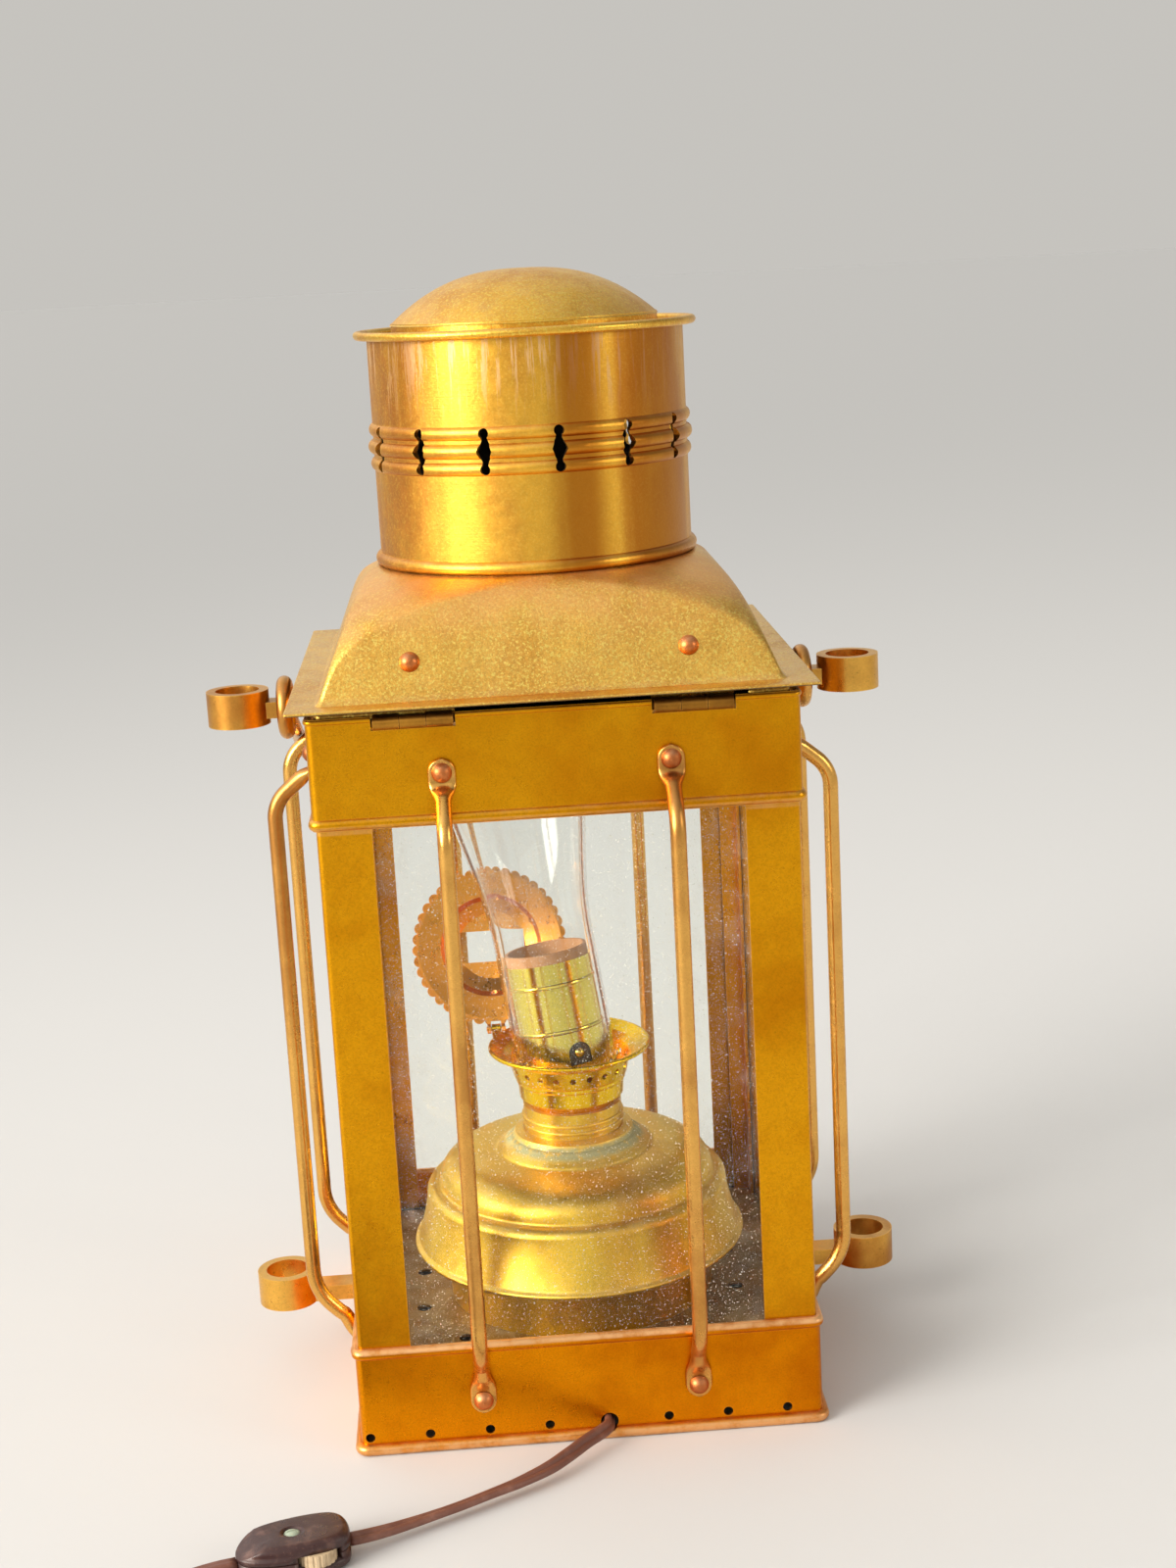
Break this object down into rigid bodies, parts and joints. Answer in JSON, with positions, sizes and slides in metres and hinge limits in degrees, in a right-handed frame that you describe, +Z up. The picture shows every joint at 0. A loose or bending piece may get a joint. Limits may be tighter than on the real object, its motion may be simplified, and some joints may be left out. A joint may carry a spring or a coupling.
{
  "type": "ship lantern table lamp",
  "caption": "Square brass lantern with a hinged vented roof, guard rods, side rings and a carrying handle, its oil burner fitted with a lamp socket, a glass chimney and a cord.",
  "frame": {"origin": "middle of the base, on the table", "axes": "+Z up, -Y to the front where the roof hinges and the cord are, +X to the right seen from the front"},
  "size_m": [0.3404, 0.4467, 0.4372],
  "materials": {
    "brass": "satin with a brown patina",
    "dull_brass": "dull and dusty",
    "burner_brass": "satin",
    "socket_brass": "polished",
    "hinge_brass": "worn satin",
    "bronze_rod": "satin",
    "copper": "satin copper",
    "pane_glass": "clear, a little dusty",
    "chimney_glass": "clear",
    "fibre": "matte",
    "insulator": "matte",
    "plated_steel": "worn plating",
    "cord": "satin",
    "bakelite": "worn gloss",
    "tie": "matte",
    "verdigris_screw": "tarnished",
    "tan_wheel": "matte"
  },
  "bodies": {
    "lantern": {"base_tray": "brass", "floor_plate": "dull_brass", "post_front_left": "brass", "post_front_right": "brass", "post_back_left": "brass", "post_back_right": "brass", "pane_front": "pane_glass", "pane_back": "pane_glass", "pane_left": "pane_glass", "pane_right": "pane_glass", "upper_band": "brass", "guard_rod_front_left": "bronze_rod", "guard_rod_front_right": "bronze_rod", "guard_rod_back_left": "bronze_rod", "guard_rod_back_right": "bronze_rod", "guard_rod_left_front": "bronze_rod", "guard_rod_left_back": "bronze_rod", "guard_rod_right_front": "bronze_rod", "guard_rod_right_back": "bronze_rod", "rod_rivets": "copper", "ring_lug_upper_left": "brass", "ring_lug_upper_right": "brass", "ring_lug_lower_left": "brass", "ring_lug_lower_right": "brass", "ring_lug_rivets": "copper", "hinge_leaves_band": "hinge_brass", "hinge_pins": "hinge_brass", "font_drum": "dull_brass", "font_shell": "dull_brass", "font_collar": "dull_brass", "burner_cup": "burner_brass", "gallery_pin": "burner_brass", "lamp_pipe": "burner_brass", "pipe_nuts": "burner_brass", "socket_cap": "socket_brass", "socket_shell": "socket_brass", "socket_liner": "fibre", "screw_shell": "socket_brass", "socket_core": "insulator", "chimney_glass": "chimney_glass", "inner_lead": "cord", "cord_lead": "cord", "cord_tail": "cord", "cord_coil": "cord", "cord_end": "cord", "coil_tie": "tie", "cord_switch_base": "bakelite", "cord_switch_cover": "bakelite", "cord_switch_screw": "verdigris_screw", "plug_body": "bakelite", "plug_blades": "plated_steel"},
    "lid": {"roof": "brass", "roof_rivets": "copper", "ventilator_drum": "brass", "ventilator_cap": "brass", "hinge_leaves_lid": "hinge_brass"},
    "handle": {"bail_handle": "bronze_rod"},
    "gallery": {"gallery_ring": "burner_brass"},
    "socket_switch": {"switch_stem": "plated_steel"},
    "thumbwheel": {"cord_switch_wheel": "tan_wheel"}
  },
  "joints": [
    {"name": "lid_hinge", "type": "hinge", "parent": "lantern", "child": "lid", "pos_m": [0, -0.0895, 0.2832], "axis": [1, 0, 0], "range_deg": [0, 120]},
    {"name": "handle_swing", "type": "hinge", "parent": "lantern", "child": "handle", "pos_m": [0, 0, 0.2743], "axis": [1, 0, 0], "range_deg": [0, 225]},
    {"name": "gallery_hinge", "type": "hinge", "parent": "lantern", "child": "gallery", "pos_m": [-0.0275, 0.0235, 0.1288], "axis": [1, 0, 0], "range_deg": [-38, 3]},
    {"name": "socket_switch_turn", "type": "hinge", "parent": "lantern", "child": "socket_switch", "pos_m": [-0.00028, 0.00177, 0.12647], "axis": [0.3241, -0.9327, 0.1582], "continuous": true},
    {"name": "thumbwheel_turn", "type": "hinge", "parent": "lantern", "child": "thumbwheel", "pos_m": [-0.10096, -0.16514, 0.0067], "axis": [0, 0, 1], "continuous": true}
  ]
}
